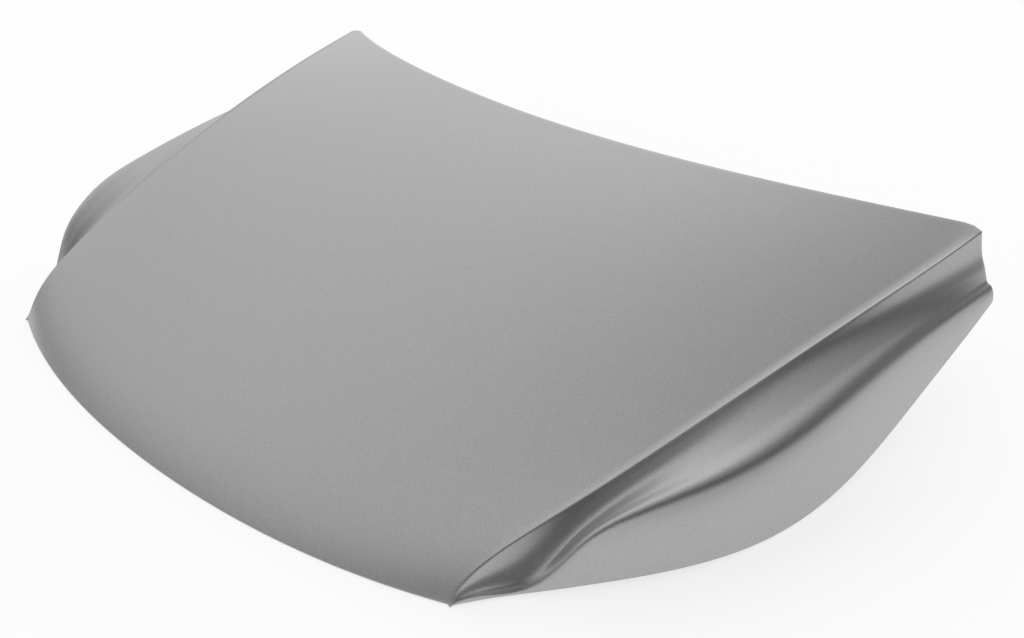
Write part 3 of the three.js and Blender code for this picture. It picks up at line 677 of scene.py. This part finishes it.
def floorPlane():
    s = studio["floorSize"]
    corners = [(-s, -s, 0), (s, -s, 0), (s, s, 0), (-s, s, 0)]
    floor = meshObject("floor", corners, [(0, 1, 2, 3)], smooth=False)
    material, nodes, links, shader = newMaterial("floorPaper")
    shader.inputs["Base Color"].default_value = (*[studio["floorShade"]] * 3, 1)
    shader.inputs["Roughness"].default_value = studio["floorRoughness"]
    shader.inputs["Specular IOR Level"].default_value = 0.0
    shader.inputs["Emission Color"].default_value = (1, 1, 1, 1)
    path = nodes.new("ShaderNodeLightPath")
    seen = nodes.new("ShaderNodeMath")
    seen.operation = "MAXIMUM"
    links.new(path.outputs["Is Camera Ray"], seen.inputs[0])
    links.new(path.outputs["Is Glossy Ray"], seen.inputs[1])
    glow = nodes.new("ShaderNodeMath")
    glow.operation = "MULTIPLY"
    links.new(seen.outputs["Value"], glow.inputs[0])
    glow.inputs[1].default_value = studio["floorGlow"]
    links.new(glow.outputs["Value"], shader.inputs["Emission Strength"])
    floor.data.materials.append(material)


floorPlane()

# lobes of the surroundings: direction, how tight, strength
surround = {
    "base": 0.1,
    "lobes": [
        ((-0.47, 0.87, 0.14), 5.0, 1.50),
        ((-0.77, 0.00, 0.64), 5.0, 0.58),
        ((-0.24, -0.73, 0.64), 5.0, 0.42),
        ((0.05, 0.17, 0.98), 5.0, 0.26),
    ],
}


def surroundings():
    world = bpy.data.worlds.new("studioSurround")
    bpy.context.scene.world = world
    world.use_nodes = True
    nodes, links = world.node_tree.nodes, world.node_tree.links
    nodes.clear()
    output = nodes.new("ShaderNodeOutputWorld")
    backdrop = nodes.new("ShaderNodeBackground")
    backdrop.inputs["Color"].default_value = (1, 1, 1, 1)
    light = nodes.new("ShaderNodeBackground")
    mix = nodes.new("ShaderNodeMixShader")
    path = nodes.new("ShaderNodeLightPath")
    links.new(path.outputs["Is Camera Ray"], mix.inputs[0])
    links.new(light.outputs[0], mix.inputs[1])
    links.new(backdrop.outputs[0], mix.inputs[2])
    links.new(mix.outputs[0], output.inputs[0])
    place = nodes.new("ShaderNodeTexCoord")
    total = None
    for direction, tight, strength in surround["lobes"]:
        toward = Vector(direction).normalized()
        dot = nodes.new("ShaderNodeVectorMath")
        dot.operation = "DOT_PRODUCT"
        links.new(place.outputs["Generated"], dot.inputs[0])
        dot.inputs[1].default_value = toward
        lean = nodes.new("ShaderNodeMath")
        lean.operation = "MULTIPLY_ADD"
        links.new(dot.outputs["Value"], lean.inputs[0])
        lean.inputs[1].default_value = tight
        lean.inputs[2].default_value = -tight
        lobe = nodes.new("ShaderNodeMath")
        lobe.operation = "EXPONENT"
        links.new(lean.outputs["Value"], lobe.inputs[0])
        add = nodes.new("ShaderNodeMath")
        add.operation = "MULTIPLY_ADD"
        links.new(lobe.outputs["Value"], add.inputs[0])
        add.inputs[1].default_value = strength
        if total is None:
            add.inputs[2].default_value = surround["base"]
        else:
            links.new(total, add.inputs[2])
        total = add.outputs["Value"]
    links.new(total, light.inputs["Strength"])
    light.inputs["Color"].default_value = (1, 1, 1, 1)


surroundings()

camera = {
    "place": (1.39865, -1.24847, 1.10768), "azimuth": 43.14388553372597, "elevation": 30.0,
    "lens": 1282.5505098426042 / 1024 * 36,
}


def addCamera():
    data = bpy.data.cameras.new("camera")
    data.sensor_width = 36
    data.sensor_fit = "HORIZONTAL"
    data.lens = camera["lens"]
    data.clip_end = 100
    seat = bpy.data.objects.new("camera", data)
    seat.location = camera["place"]
    seat.rotation_euler = (math.radians(90 - camera["elevation"]), 0, math.radians(camera["azimuth"]))
    bpy.context.scene.collection.objects.link(seat)
    bpy.context.scene.camera = seat


addCamera()

bpy.context.scene.view_settings.view_transform = "Standard"
print("bonnet: stage and camera set")
